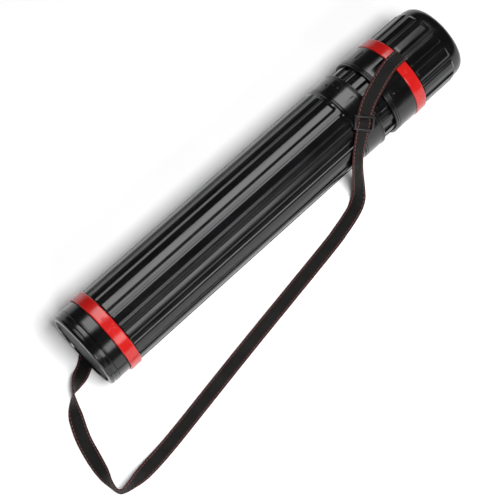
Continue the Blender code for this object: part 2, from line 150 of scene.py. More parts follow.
def mesh_object(name, vertices, faces, material, sharp=40.0, mend=True):
    """A shaded mesh from millimetre points, with its normals out and coinciding points joined."""
    mesh = bpy.data.meshes.new(name)
    mesh.from_pydata((np.asarray(vertices, float) * MM).tolist(), [], faces)
    if mend:
        bm = bmesh.new()
        bm.from_mesh(mesh)
        bmesh.ops.remove_doubles(bm, verts=bm.verts, dist=0.000002)
        bmesh.ops.recalc_face_normals(bm, faces=bm.faces)
        bm.to_mesh(mesh)
        bm.free()
    mesh.materials.append(material)
    mesh.shade_smooth()
    mesh.set_sharp_from_angle(angle=math.radians(sharp))
    obj = bpy.data.objects.new(name, mesh)
    bpy.context.scene.collection.objects.link(obj)
    return obj


def join(target, others):
    """Adds the other objects' meshes to the target's, and removes them."""
    bm = bmesh.new()
    bm.from_mesh(target.data)
    for other in others:
        bm.from_mesh(other.data)
    bm.to_mesh(target.data)
    bm.free()
    for other in others:
        bpy.data.objects.remove(other, do_unlink=True)


def grid_faces(rows, columns, wrap_rows, wrap_columns):
    """Quads between neighbouring rows of points."""
    faces = []
    for i in range(rows - 1 + wrap_rows):
        first = i * columns
        second = (i + 1) % rows * columns
        for j in range(columns - 1 + wrap_columns):
            k = (j + 1) % columns
            faces.append((first + j, first + k, second + k, second + j))
    return faces


def on_tube(station, clock, radius):
    """Points over the tube's surface, from numbers or arrays."""
    turn = np.radians(clock)
    station, turn, radius = np.broadcast_arrays(station, turn, radius)
    return np.stack(
        [BASE_X + station, -radius * np.sin(turn), AXIS_HEIGHT + radius * np.cos(turn)], -1)


def smooth(t):
    """An eased step from 0 to 1."""
    t = np.clip(t, 0.0, 1.0)
    return t * t * (3 - 2 * t)


def rounded(corners, steps=4):
    """A profile from (radius, station, rounding) corners, each rounding a short curve."""
    points = []
    last = len(corners)
    for i, (radius, station, size) in enumerate(corners):
        here = np.array((radius, station))
        before = np.array(corners[i - 1][:2]) - here
        after = np.array(corners[(i + 1) % last][:2]) - here
        if size == 0:
            points.append(here)
            continue
        start = here + before * min(size / np.linalg.norm(before), 0.48)
        end = here + after * min(size / np.linalg.norm(after), 0.48)
        for k in range(steps + 1):
            t = k / steps
            points.append((1 - t) ** 2 * start + 2 * t * (1 - t) * here + t * t * end)
    return [tuple(p) for p in points]


def turned(name, rows, clocks, material, sharp=40.0):
    """Rows of (radius, station) swept round into a closed body.

    A radius is one number, or an array with one for each clock angle.
    """
    points = np.concatenate([on_tube(station, clocks, radius) for radius, station in rows])
    faces = grid_faces(len(rows), len(clocks), True, True)
    return mesh_object(name, points, faces, material, sharp)


PLAIN_CLOCKS = np.arange(0.0, 360.0, 2.0)


def merged_clocks(*groups):
    """All these clock angles once each, in order round the tube."""
    return np.unique(np.round(np.concatenate(groups) % 360.0, 4))


def rib_columns(first_clock, half_width, slope, extra=()):
    """Clock angles that are close together on the ribs' sides and wide apart between them."""
    side = half_width + slope * np.linspace(-0.5, 0.5, 8)
    half = np.concatenate([[1.8, 3.6], side, [(side[-1] + PITCH / 2) / 2]])
    offsets = np.concatenate([[0.0], half, [PITCH / 2], PITCH - half[::-1]])
    return merged_clocks(*(first_clock + PITCH * i + offsets for i in range(RIBS)), extra)


def rib_shape(clocks, first_clock, half_width, slope):
    """1 on the ribs and 0 in the grooves, with rounded sides between."""
    offset = np.abs((clocks - first_clock + PITCH / 2) % PITCH - PITCH / 2)
    return smooth((half_width + slope / 2 - offset) / slope)


def near_clock(clocks, centre):
    """How far each clock angle is from the centre, in degrees."""
    return np.abs((clocks - centre + 180.0) % 360.0 - 180.0)


def patch(outline, surface_radius, material, height=MARK_HEIGHT):
    """A raised mark on the tube: an outline of (station, clock) points, lifted off the surface."""
    outline = np.array(outline)
    middle = outline.mean(0)
    floor = surface_radius - MARK_SINK
    rows = []
    for radius, shrink in ((floor, 1.0), (floor + height * 0.6, 1.0), (floor + height, 0.82)):
        inset = middle + (outline - middle) * shrink
        rows.append(on_tube(inset[:, 0], inset[:, 1], radius))
    columns = len(outline)
    faces = grid_faces(len(rows), columns, False, True)
    faces.append(tuple(range(columns)))
    faces.append(tuple(range(2 * columns, 3 * columns)))
    return mesh_object("mark", np.concatenate(rows), faces, material)


def disc_outline(station, clock, radius_mm, surface_radius):
    """A small disc about a place on the tube."""
    turns = np.linspace(0.0, 2 * math.pi, 16, endpoint=False)
    stretch = math.degrees(radius_mm / surface_radius)
    return [(station + radius_mm * math.cos(t), clock + stretch * math.sin(t)) for t in turns]


def bar_outline(start, end, width, surface_radius):
    """A straight bar between two (station, clock) points."""
    scale = math.radians(1.0) * surface_radius
    a = np.array((start[0], start[1] * scale))
    b = np.array((end[0], end[1] * scale))
    along = (b - a) / np.linalg.norm(b - a)
    side = np.array((-along[1], along[0])) * width / 2
    return [(p[0], p[1] / scale) for p in (a + side, b + side, b - side, a - side)]


# ---------------------------------------------------------------- materials

def new_material(name):
    material = bpy.data.materials.new(name)
    material.use_nodes = True
    tree = material.node_tree
    return material, tree, tree.nodes["Principled BSDF"]


def add_node(tree, kind, inputs=None, **settings):
    node = tree.nodes.new(kind)
    for key, value in settings.items():
        setattr(node, key, value)
    for key, value in (inputs or {}).items():
        node.inputs[key].default_value = value
    return node


def noise(tree, scale, detail=3.0, stretch=(1.0, 1.0, 1.0)):
    """Noise in object space, in cycles per metre, stretched along an axis where that is under 1."""
    place = add_node(tree, "ShaderNodeTexCoord")
    mapping = add_node(tree, "ShaderNodeMapping", {"Scale": stretch})
    texture = add_node(tree, "ShaderNodeTexNoise", {"Scale": scale, "Detail": detail})
    tree.links.new(place.outputs["Object"], mapping.inputs["Vector"])
    tree.links.new(mapping.outputs["Vector"], texture.inputs["Vector"])
    return texture.outputs["Fac"]


def spread(tree, value, low, high, out_low, out_high):
    """The value's range low to high, mapped to out_low to out_high."""
    node = add_node(tree, "ShaderNodeMapRange", {
        "From Min": low, "From Max": high, "To Min": out_low, "To Max": out_high})
    tree.links.new(value, node.inputs["Value"])
    return node.outputs["Result"]


def blend_colours(tree, factor, first, second):
    """A mix of two colours, each given as numbers or as another node's output."""
    node = add_node(tree, "ShaderNodeMix", data_type="RGBA")
    tree.links.new(factor, node.inputs["Factor"])
    for socket, colour in (("A", first), ("B", second)):
        if isinstance(colour, tuple):
            node.inputs[socket].default_value = (*colour, 1.0)
        else:
            tree.links.new(colour, node.inputs[socket])
    return node.outputs["Result"]


def mottled(tree, pattern, dark, light, low=0.3, high=0.7):
    """A colour that goes from dark to light with the pattern."""
    return blend_colours(tree, spread(tree, pattern, low, high, 0.0, 1.0), dark, light)


def add_bump(tree, shader, height, distance, before=None):
    """Bumps the shader's surface by a distance in metres, on top of an earlier bump."""
    node = add_node(tree, "ShaderNodeBump", {"Distance": distance, "Strength": 1.0})
    tree.links.new(height, node.inputs["Height"])
    if before:
        tree.links.new(before, node.inputs["Normal"])
    tree.links.new(node.outputs["Normal"], shader.inputs["Normal"])
    return node.outputs["Normal"]


def moulded_plastic(name, colours, roughness, grain=0.000006):
    """Moulded plastic: broad mould waviness, fine grain, flow streaks and light handling scuffs."""
    material, tree, shader = new_material(name)
    scuffs = noise(tree, 90.0, 6.0, (0.35, 1.0, 1.0))
    streaks = noise(tree, 260.0, 3.0, (0.06, 1.0, 1.0))
    waves = noise(tree, 34.0, 1.0, (0.3, 1.0, 1.0))
    tree.links.new(mottled(tree, scuffs, *colours, 0.35, 0.75), shader.inputs["Base Color"])
    tree.links.new(spread(tree, scuffs, 0.3, 0.75, *roughness), shader.inputs["Roughness"])
    wavy = add_bump(tree, shader, waves, 0.00004)
    streaky = add_bump(tree, shader, streaks, grain * 1.5, wavy)
    add_bump(tree, shader, noise(tree, 1900.0, 2.0), grain, streaky)
    shader.inputs["IOR"].default_value = 1.5
    return material


def webbing_material():
    """Black ribbed webbing with a dark red yarn along each edge, and painted shade in the valleys
    between its crosswise ribs.
    """
    material, tree, shader = new_material("strap_webbing")
    across = add_node(tree, "ShaderNodeAttribute", attribute_name="across").outputs["Fac"]
    ribs = add_node(tree, "ShaderNodeAttribute", attribute_name="rib").outputs["Fac"]
    fuzz = noise(tree, 700.0, 4.0)
    worn = noise(tree, 60.0, 3.0)
    body = mottled(tree, fuzz, (0.004, 0.0039, 0.0037), (0.015, 0.0145, 0.0132))
    edge = mottled(tree, fuzz, (0.020, 0.004, 0.004), (0.062, 0.009, 0.008))
    # Painted shade: the colour goes near black in the valleys between the crosswise ribs
    painted_valley_shade = (0.0005, 0.0004, 0.0004)
    ribbed = blend_colours(tree, spread(tree, ribs, 0.25, 0.85, 0.0, 1.0), painted_valley_shade, body)
    whole = blend_colours(tree, spread(tree, across, 0.86, 0.92, 0.0, 1.0), ribbed, edge)
    tree.links.new(whole, shader.inputs["Base Color"])
    tree.links.new(spread(tree, worn, 0.3, 0.7, 0.62, 0.82), shader.inputs["Roughness"])
    add_bump(tree, shader, fuzz, 0.00006)
    shader.inputs["Specular IOR Level"].default_value = 0.35
    return material


def mottled_material(name, pattern_scale, pattern_detail, colours, roughness, bump):
    """A dull material whose colour, roughness and bump all follow one fine pattern."""
    material, tree, shader = new_material(name)
    pattern = noise(tree, pattern_scale, pattern_detail)
    tree.links.new(mottled(tree, pattern, *colours), shader.inputs["Base Color"])
    tree.links.new(spread(tree, pattern, 0.3, 0.7, *roughness), shader.inputs["Roughness"])
    add_bump(tree, shader, pattern, bump)
    return material


BLACKS = ((0.0018, 0.0018, 0.0021), (0.0045, 0.0045, 0.0050))
REDS = ((0.43, 0.008, 0.007), (0.51, 0.013, 0.011))
GREYS = ((0.016, 0.016, 0.017), (0.028, 0.028, 0.029))
SHINY = (0.15, 0.24)
BLACK = moulded_plastic("black_plastic", BLACKS, SHINY)
RED = moulded_plastic("red_plastic", REDS, SHINY)
TEXTURED = moulded_plastic("textured_plastic", BLACKS, (0.55, 0.7), grain=0.00006)
BUCKLE = moulded_plastic("buckle_plastic", GREYS, (0.26, 0.38))
RUBBER = mottled_material("seal_rubber", 500.0, 4.0,
                          ((0.014, 0.014, 0.014), (0.030, 0.029, 0.028)), (0.6, 0.75), 0.00003)
WEBBING = webbing_material()
THREAD = mottled_material("red_thread", 1500.0, 3.0,
                          ((0.12, 0.026, 0.024), (0.33, 0.12, 0.11)), (0.45, 0.65), 0.00004)


def place_piece(obj, body, node):
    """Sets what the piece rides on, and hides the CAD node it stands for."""
    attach(obj, body)
    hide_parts(node)


# ---------------------------------------------------------------- strap

def over(station, clock, radius, outward=None):
    """A route point over the tube, and the way the webbing's outer face looks there."""
    turn = math.radians(clock)
    away = (0.0, -math.sin(turn), math.cos(turn))
    return on_tube(station, clock, radius), np.array(outward or away)


def under(station, clock, radius):
    """A route point under a strap ring, where the webbing's outer face looks at the tube."""
    point, away = over(station, clock, radius)
    return point, -away


def lying(x, y, z, outward):
    """A route point off the tube, in the frame's own axes."""
    return np.array((x, y, z)), np.array(outward)


# From the slider's middle bar up to the ring, round it and back to the floor, along the floor to the
# fold, back to the base with a half twist, and round the lower ring.
STRAP_ROUTE = [
    over(351.8, 34.6, 43.2),
    over(357.0, 29.0, 43.3),
    over(363.5, 23.3, 43.7),
    over(371.0, 18.6, 43.9),
    over(378.8, 15.0, 44.1),
    over(386.5, 11.6, 44.5),
    over(394.3, 8.4, 44.5),
    over(401.0, 5.0, 44.5),
    over(406.0, 3.6, 42.7),
    over(410.8, 3.0, 40.3),
    over(417.0, UPPER_LOOP_CLOCK, 40.1),
    over(424.0, UPPER_LOOP_CLOCK, 40.1),
    over(425.4, UPPER_LOOP_CLOCK, 41.6, (0.8, 0.0, -0.6)),
    over(425.4, UPPER_LOOP_CLOCK, 44.2, (0.8, 0.0, 0.6)),
    over(424.0, UPPER_LOOP_CLOCK, 45.1),
    over(417.0, UPPER_LOOP_CLOCK, 45.1),
    over(411.0, 3.2, 45.2),
    over(402.0, 5.8, 45.8),
    over(394.3, 8.4, 46.0),
    over(386.5, 11.6, 46.0),
    over(378.8, 15.0, 45.7),
    over(371.0, 18.6, 45.5),
    over(363.5, 23.3, 45.3),
    over(*SLIDER_TOP, 45.0),
    over(*SLIDER_MIDDLE, 46.6),
    over(*SLIDER_FOOT, 45.0),
    over(341.7, 49.3, 44.0),
    over(336.5, 58.0, 43.5),
    over(332.0, 67.5, 43.7),
    over(328.6, 77.5, 44.6),
    lying(81.5, -47.2, 41.0, (0.0, -1.0, 0.1)),
    lying(80.1, -50.6, 26.0, (0.0, -0.97, 0.25)),
    lying(77.5, -55.2, 12.5, (-0.1, -0.85, 0.5)),
    lying(72.5, -60.4, 4.2, (-0.1, -0.35, 0.93)),
    lying(63.5, -65.2, 1.2, (0.0, 0.0, 1.0)),
    lying(49.5, -69.4, 0.95, (0.0, 0.0, 1.0)),
    lying(35.1, -72.7, 0.95, (0.0, 0.0, 1.0)),
    lying(22.2, -75.3, 0.95, (0.0, 0.0, 1.0)),
    lying(-19.0, -81.5, 0.95, (0.0, 0.0, 1.0)),
    lying(-100.0, -93.3, 0.95, (0.0, 0.0, 1.0)),
    lying(-159.5, -102.4, 0.95, (0.0, 0.0, 1.0)),
    lying(-217.5, -111.5, 0.95, (0.0, 0.0, 1.0)),
    lying(-242.5, -115.0, 1.6, (0.0, -0.08, 1.0)),
    lying(-266.5, -117.6, 3.9, (-0.02, -0.4, 0.9)),
    lying(-285.5, -118.8, 7.5, (-0.1, -0.9, 0.42)),
    lying(-295.0, -118.4, 8.3, (-0.45, -0.88, 0.12)),
    lying(-299.1, -114.8, 8.3, (-1.0, -0.25, 0.1)),
    lying(-299.3, -106.0, 8.0, (-0.95, 0.0, 0.3)),
    lying(-297.5, -92.0, 5.7, (-0.6, 0.0, 0.8)),
    lying(-294.0, -73.0, 2.4, (-0.15, 0.0, 1.0)),
    lying(-289.0, -53.5, 1.5, (0.0, 0.0, 1.0)),
    lying(-281.0, -35.0, 3.7, (-0.2, 0.15, 0.95)),
    lying(-273.0, -22.5, 6.9, (-0.7, 0.45, 0.55)),
    lying(-265.0, -14.0, 8.4, (-0.68, 0.73, -0.05)),
    lying(-256.5, -8.6, 6.0, (-0.45, 0.6, -0.65)),
    lying(-248.0, -4.6, 1.9, (-0.1, 0.15, -1.0)),
    lying(-240.5, -0.6, 1.05, (0.0, 0.0, -1.0)),
    lying(-233.0, 5.0, 1.15, (0.0, 0.06, -1.0)),
    lying(-225.5, 12.4, 2.1, (0.0, 0.2, -0.98)),
    lying(-218.0, 19.2, 3.3, (0.0, 0.4, -0.92)),
    over(31.0, LOWER_LOOP_CLOCK, 45.4),
    over(37.0, LOWER_LOOP_CLOCK, 45.1),
    over(43.2, LOWER_LOOP_CLOCK, 45.1),
    over(44.5, LOWER_LOOP_CLOCK, 44.2, (0.8, 0.3, -0.52)),
    over(44.5, LOWER_LOOP_CLOCK, 41.6, (0.8, -0.3, 0.52)),
    under(43.2, LOWER_LOOP_CLOCK, 40.1),
    under(37.0, LOWER_LOOP_CLOCK, 40.1),
    under(30.0, LOWER_LOOP_CLOCK, 40.1),
    under(26.0, LOWER_LOOP_CLOCK, 42.0),
    under(24.8, LOWER_LOOP_CLOCK, 42.4),
]


class Ribbon:
    """A smooth curve through the route, read at any length along it."""

    def __init__(self, route, step=0.5):
        points, outwards = [], []
        last = len(route) - 1
        for i in range(last):
            knots = [route[max(i - 1, 0)], route[i], route[i + 1], route[min(i + 2, last)]]
            pieces = max(2, int(np.linalg.norm(knots[2][0] - knots[1][0]) / step))
            t = np.arange(pieces + (i == last - 1))[:, None] / pieces
            weights = (
                (-t + 2 * t * t - t ** 3) / 2,
                (2 - 5 * t * t + 3 * t ** 3) / 2,
                (t + 4 * t * t - 3 * t ** 3) / 2,
                (-t * t + t ** 3) / 2,
            )
            points.append(sum(w * knot[0] for w, knot in zip(weights, knots)))
            outwards.append(sum(w * knot[1] for w, knot in zip(weights, knots)))
        self.points = np.concatenate(points)
        self.outwards = np.concatenate(outwards)
        steps = np.linalg.norm(np.diff(self.points, axis=0), axis=1)
        self.lengths = np.concatenate([[0.0], np.cumsum(steps)])
        self.length = self.lengths[-1]

    def read(self, along):
        """Centre, across and up vectors at these lengths."""
        def at(values, s):
            return np.stack([np.interp(s, self.lengths, values[:, k]) for k in range(3)], -1)

        centre = at(self.points, along)
        ahead = at(self.points, along + 1.0) - at(self.points, along - 1.0)
        ahead /= np.linalg.norm(ahead, axis=1)[:, None]
        across = np.cross(ahead, at(self.outwards, along))
        across /= np.linalg.norm(across, axis=1)[:, None]
        return centre, across, np.cross(across, ahead)


RIBBON = Ribbon(STRAP_ROUTE)


def strap_section():
    """Points round the webbing's section as (across, up, share of the crosswise ribs)."""
    half, thick = STRAP_WIDTH / 2, STRAP_THICKNESS / 2
    reaches = (0.0, 2.6, 5.2, RIBBED_HALF_WIDTH, 6.3, EDGE_YARN, 7.3)
    top = []
    for a in [-reach for reach in reaches[:0:-1]] + list(reaches):
        reach = abs(a)
        ribbed = reach < RIBBED_HALF_WIDTH
        fullness = 0.8 if reach > 7.2 else 1.0 if ribbed else 0.93
        bulge = 0.06 * math.exp(-((reach - EDGE_YARN) / 0.35) ** 2)
        top.append((a, thick * fullness + bulge, float(ribbed)))
    bottom = [(a, -u, r) for a, u, r in reversed(top)]
    return top + [(half, 0.0, 0.0)] + bottom + [(-half, 0.0, 0.0)]


def make_strap():
    """The webbing, with crosswise ribs and the attributes that its material reads, the rib profile
    among them placing painted shade in the valleys.
    """
    across_at, up_at, ribbed = np.array(strap_section()).T
    rows = int(RIBBON.length / RIB_STEP * ROWS_PER_RIB)
    along = np.linspace(0.0, RIBBON.length, rows)
    centre, across, up = (vectors[:, None, :] for vectors in RIBBON.read(along))
    rib = (0.5 + 0.5 * np.cos(2 * math.pi * along / RIB_STEP))[:, None]
    heights = up_at + np.sign(up_at) * ribbed * (RIB_HEIGHT * rib - RIB_SINK)
    points = centre + across_at[:, None] * across + heights[:, :, None] * up
    columns = len(ribbed)
    faces = grid_faces(rows, columns, False, True)
    faces.append(tuple(range(columns)))
    faces.append(tuple(range((rows - 1) * columns, rows * columns)))
    strap = mesh_object("strap", points.reshape(-1, 3), faces, WEBBING, 60.0, mend=False)
    values = {
        "across": np.tile(np.abs(across_at) / (STRAP_WIDTH / 2), rows),
        # The rib profile, which the material uses to paint shade into the valleys
        "rib": (1.0 - ribbed * (1.0 - rib)).ravel(),
    }
    for name, value in values.items():
        attribute = strap.data.attributes.new(name, "FLOAT", "POINT")
        attribute.data.foreach_set("value", value.astype(np.float32))
    bm = bmesh.new()
    bm.from_mesh(strap.data)
    bmesh.ops.recalc_face_normals(bm, faces=bm.faces)
    bm.to_mesh(strap.data)
    bm.free()
    return strap


def make_stitches():
    """Short raised stitches along both edges, on both faces of the webbing."""
    count = int((RIBBON.length - 2 * STITCH_MARGIN) / STITCH_STEP)
    starts = STITCH_MARGIN + STITCH_STEP * np.arange(count)
    sides = 6
    turns = np.linspace(0.0, 2 * math.pi, sides, endpoint=False)
    shape = []
    for shift, size in ((-1.2, 0.06), (-0.9, 0.21), (0.9, 0.21), (1.2, 0.06)):
        shape += [(shift, size * 1.25 * math.cos(t), size * math.sin(t)) for t in turns]
    shape = np.array(shape)
    faces_one = grid_faces(4, sides, False, True)
    faces_one += [tuple(range(sides)), tuple(range(3 * sides, 4 * sides))]
    points, faces = [], []
    for edge in (-1, 1):
        for face in (-1, 1):
            for start in starts:
                centre, across, up = RIBBON.read(start + shape[:, 0])
                place = (centre + (edge * STITCH_LINE + shape[:, 1])[:, None] * across
                         + (face * STITCH_LIFT + shape[:, 2])[:, None] * up)
                first = len(points) * len(shape)
                points.append(place)
                faces += [tuple(first + k for k in f) for f in faces_one]
    return mesh_object("strap_stitches", np.concatenate(points), faces, THREAD, 60.0)


def make_slider():
    """A three-bar slider of rounded bars, the webbing over its middle bar."""
    def point(place, radius):
        return Vector(on_tube(*place, radius))

    radius = 44.9
    centre = point(SLIDER_MIDDLE, radius)
    outward = (centre - point(SLIDER_MIDDLE, 0.0)).normalized()
    along = (point(SLIDER_TOP, radius) - point(SLIDER_FOOT, radius)).normalized()
    across = along.cross(outward).normalized()
    up = across.cross(along)
    place = Matrix((across, along, up)).transposed().to_4x4()
    place.translation = centre * MM
    side = STRAP_WIDTH / 2 + 2.0
    end_bar = 6.2
    crossbar = (2 * side, 1.8, 1.6)
    side_bar = (2.0, 14.2, 4.0)
    bars = [
        ((0.0, 0.0, 0.0), crossbar),
        ((0.0, end_bar, 2.4), crossbar),
        ((0.0, -end_bar, 2.4), crossbar),
        ((side, 0.0, 1.2), side_bar),
        ((-side, 0.0, 1.2), side_bar),
    ]
    bm = bmesh.new()
    for middle, size in bars:
        scale = Matrix.Diagonal((*(Vector(size) * MM), 1.0))
        box = Matrix.Translation(Vector(middle) * MM) @ scale
        made = bmesh.ops.create_cube(bm, size=1.0, matrix=box)
        edges = {e for v in made["verts"] for e in v.link_edges}
        bmesh.ops.bevel(bm, geom=list(edges), offset=0.5 * MM, segments=3, affect="EDGES",
                        profile=0.5)
    bm.transform(place)
    mesh = bpy.data.meshes.new("slider")
    bm.to_mesh(mesh)
    bm.free()
    mesh.materials.append(BUCKLE)
    mesh.shade_smooth()
    mesh.set_sharp_from_angle(angle=math.radians(50.0))
    slider = bpy.data.objects.new("slider", mesh)
    bpy.context.scene.collection.objects.link(slider)
    place_piece(slider, "inner", "strap_slider")
    return slider


STRAP = make_strap()
STITCHES = make_stitches()
SLIDER = make_slider()

# The webbing and its stitches are fixed in the frame, the CAD strap pieces are hidden, and points are
# taken every few millimetres along the webbing's middle.
for piece in (STRAP, STITCHES):
    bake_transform(piece)
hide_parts("strap_upper", "strap_lower")
CORD_PATH = RIBBON.read(np.arange(0.0, RIBBON.length, CORD_PATH_STEP))[0] * MM
print(f"strap length {RIBBON.length:.1f} mm")


# ---------------------------------------------------------------- tube

def make_base_cap():
    """The end cup, with a dished and textured end face behind a smooth rim."""
    corners = [
        (0.0, 10.0, 0), (34.0, 10.0, 1.0), (36.0, 12.0, 1.0), (36.0, 44.0, 0), (37.2, 44.0, 0.2),
        (37.7, 43.4, 0.2), (37.7, 17.7, 0), (41.7, 17.7, 0.2), (42.1, 17.2, 0.5), (42.1, 13.0, 0.5),
        (41.4, 12.5, 0.3), (41.4, 11.4, 0.3), (42.0, 10.9, 0.5), (42.0, 9.9, 0.7), (41.7, 8.6, 0.7),
        (40.9, 7.6, 0.7), (39.6, 7.1, 0.7), (37.6, BASE_FACE, 0.5), (36.8, BASE_FACE, 0.3),
        (DISH_RADIUS, DISH_FLOOR, 0.4), (0.0, DISH_FLOOR, 0),
    ]
    cap = turned("base_cap_shell", rounded(corners, 5), PLAIN_CLOCKS, BLACK, 50.0)
    cap.data.materials.append(TEXTURED)
    for polygon in cap.data.polygons:
        off_axis = math.hypot(polygon.center.y, polygon.center.z - AXIS_HEIGHT * MM)
        if polygon.normal.x < -0.7 and off_axis < DISH_RADIUS * MM:
            polygon.material_index = 1
    place_piece(cap, "barrel", "base_cap")


def pocket(clocks, centre, radius, floor):
    """The radius with a strap pocket sunk to floor about a clock angle."""
    inside = near_clock(clocks, centre) < POCKET_HALF_ANGLE
    return np.where(inside, np.minimum(radius, floor), radius)


def pocket_columns(centre):
    """Clock angles close to both sides of a pocket's edges."""
    start, end = centre - POCKET_HALF_ANGLE, centre + POCKET_HALF_ANGLE
    return [start - 0.15, start + 0.05, end - 0.05, end + 0.15]


def make_barrel():
    """The ribbed barrel, with the lower ring's seat, a strap pocket and a plain lip."""
    clocks = rib_columns(BARREL_CLOCK, RIB_HALF_WIDTH, RIB_SLOPE, pocket_columns(LOWER_LOOP_CLOCK))
    ribs = rib_shape(clocks, BARREL_CLOCK, RIB_HALF_WIDTH, RIB_SLOPE)
    channels = rib_shape(clocks, BARREL_CLOCK, 5.9, 0.6)
    height = BARREL_RADIUS - BARREL_GROOVE
    foot_radius = 41.8
    pocket_start, pocket_end = 22.0, 45.4
    rows = []

    def add(radius, station):
        if station >= pocket_start:
            floor = np.interp(station, [pocket_start, 30.0, pocket_end, pocket_end + 0.01],
                              [42.4, POCKET_FLOOR, POCKET_FLOOR, 50.0])
            radius = pocket(clocks, LOWER_LOOP_CLOCK, radius, floor)
        rows.append((radius, station))

    foot = rounded([
        (38.0, 18.0, 0), (foot_radius, 18.0, 0.4), (foot_radius, 30.2, 0.25), (RING_SEAT, 30.4, 0.1),
        (RING_SEAT, 43.6, 0.2), (41.9, 43.7, 0),
    ])
    for radius, station in foot[:-1]:
        add(radius, station)
    for station in (pocket_start, 26.0, 30.0):
        add(foot_radius, station)
    rows.sort(key=lambda row: row[1])
    for station in (44.0, 44.2, 44.5, 44.9, 45.39, 45.41, 46.4):
        rise = float(smooth((station - 43.8) / 1.1))
        add(BARREL_GROOVE + 0.9 + rise * (ribs * height - 0.9), station)
    for station in np.linspace(52.0, 330.0, 8):
        rows.append((BARREL_GROOVE + ribs * height, station))
    for station in np.linspace(336.5, 342.0, 14):
        fall = smooth((341.8 - station) / 4.0)
        rows.append((BARREL_GROOVE + ribs * fall * height, station))
    lip = rounded([
        (BARREL_GROOVE, 342.0, 0), (BARREL_GROOVE + 0.1, 342.5, 0.3), (42.2, 343.7, 0.45),
        (42.2, 345.0, 0.3), (BARREL_BORE, 345.0, 0),
    ])
    bore = BARREL_BORE + channels * 1.4
    rows += lip[1:-1]
    rows += [(bore, 345.0), (bore, 60.0), (bore, 47.6), (BARREL_BORE, 47.4), (38.0, 46.2)]
    barrel = turned("barrel_shell", rows, clocks, BLACK, 50.0)
    place_piece(barrel, "barrel", "outer_barrel")


def turned_mark(station, clock, radius_mm, surface_radius, material):
    """A small raised circle moulded on the tube's surface."""
    rings, sides = 24, 8
    stretch = math.degrees(1.0 / surface_radius)
    rows = []
    for i in range(rings):
        turn = 2 * math.pi * i / rings
        for k in range(sides):
            tilt = 2 * math.pi * k / sides
            reach = radius_mm + 0.32 * math.cos(tilt)
            rows.append(on_tube(station + reach * math.cos(turn),
                                clock + stretch * reach * math.sin(turn),
                                surface_radius + 0.38 * math.sin(tilt)))
    return mesh_object("circle", np.array(rows), grid_faces(rings, sides, True, True), material)


def make_ring(name, start, body, node, mark_clock):
    """A red strap ring with rounded edges and a small moulding mark."""
    end = start + RING_WIDTH
    bore, edge_radius, rounding = 41.9, RING_RADIUS - 0.45, 0.7
    corners = [
        (edge_radius, start, 0.2), (RING_RADIUS, start + rounding, rounding),
        (RING_RADIUS, end - rounding, rounding), (edge_radius, end, 0.2), (bore, end, 0.2),
        (bore, start, 0.2),
    ]
    ring = turned(name, rounded(corners, 5), PLAIN_CLOCKS, RED, 50.0)
    middle = (start + end) / 2
    dot = patch(disc_outline(middle, mark_clock, 0.9, RING_RADIUS), RING_RADIUS, RED, 0.24)
    rim = turned_mark(middle, mark_clock, 1.7, RING_RADIUS - 0.24, RED)
    join(ring, [dot, rim])
    place_piece(ring, body, node)


def make_collar():
    """The twist collar, with a double bead and generic marks."""
    bore, crest = 40.95, 42.85
    corners = [
        (bore, 368.6, 0.1), (42.4, 368.6, 0.3), (crest, 368.2, 0.35), (crest, 367.3, 0.35),
        (42.1, 366.9, 0.2), (42.1, 366.5, 0.2), (crest, 366.1, 0.35), (crest, 365.2, 0.35),
        (COLLAR_RADIUS, 364.8, 0.3), (COLLAR_RADIUS, 346.0, 0.5), (41.9, 345.4, 0.2),
        (bore, 345.4, 0.1),
    ]
    collar = turned("collar_shell", rounded(corners), PLAIN_CLOCKS, BLACK, 50.0)
    outlines = [
        bar_outline((358.0, -33.0), (358.0, -22.5), 0.9, COLLAR_RADIUS),
        [(355.6, -22.5), (360.4, -22.5), (358.0, -17.5)],
        bar_outline((351.5, 0.5), (362.5, 0.5), 0.8, COLLAR_RADIUS),
        bar_outline((362.1, 0.0), (362.1, 7.0), 0.8, COLLAR_RADIUS),
    ]
    marks = [turned_mark(355.0, -43.0, 1.2, COLLAR_RADIUS, BLACK)]
    marks += [patch(outline, COLLAR_RADIUS, BLACK) for outline in outlines]
    join(collar, marks)
    place_piece(collar, "collar", "lock_collar")


def make_inner_tube():
    """The ribbed inner tube, with three racks of lock notches cut through its ribs."""
    half, slope = 5.35, 1.3
    clocks = rib_columns(BARREL_CLOCK, half, slope)
    ribs = rib_shape(clocks, BARREL_CLOCK, half, slope)
    rack = np.zeros_like(clocks, dtype=bool)
    for k in range(3):
        rack |= near_clock(clocks, BARREL_CLOCK + PITCH + 120.0 * k) < PITCH / 2
    full = INNER_GROOVE + ribs * (INNER_RADIUS - INNER_GROOVE)
    notched = np.where(rack, INNER_GROOVE + NOTCH_FLOOR * ribs, full)
    between = 0.5 * (full + notched)
    foot, ribs_start, end = 48.0, 83.5, 404.0
    rows = [(INNER_CLEAR_BORE, foot), (38.3, foot), (38.3, ribs_start), (full, ribs_start)]
    for step in range(RACK_STEPS, -2, -1):
        centre = LOCK_STATION - RACK_PITCH * step
        for offset, radius in ((-3.9, full), (-3.55, between), (-3.3, notched),
                               (3.3, notched), (3.55, between), (3.9, full)):
            if centre + offset >= ribs_start:
                rows.append((radius, centre + offset))
    rows += [(full, end), (INNER_CLEAR_BORE, end)]
    tube = turned("inner_tube_shell", rows, clocks, BLACK, 45.0)
    join(tube, [turned_mark(376.3, -15.5, 1.2, INNER_GROOVE + NOTCH_FLOOR, BLACK)])
    place_piece(tube, "inner", "inner_tube")


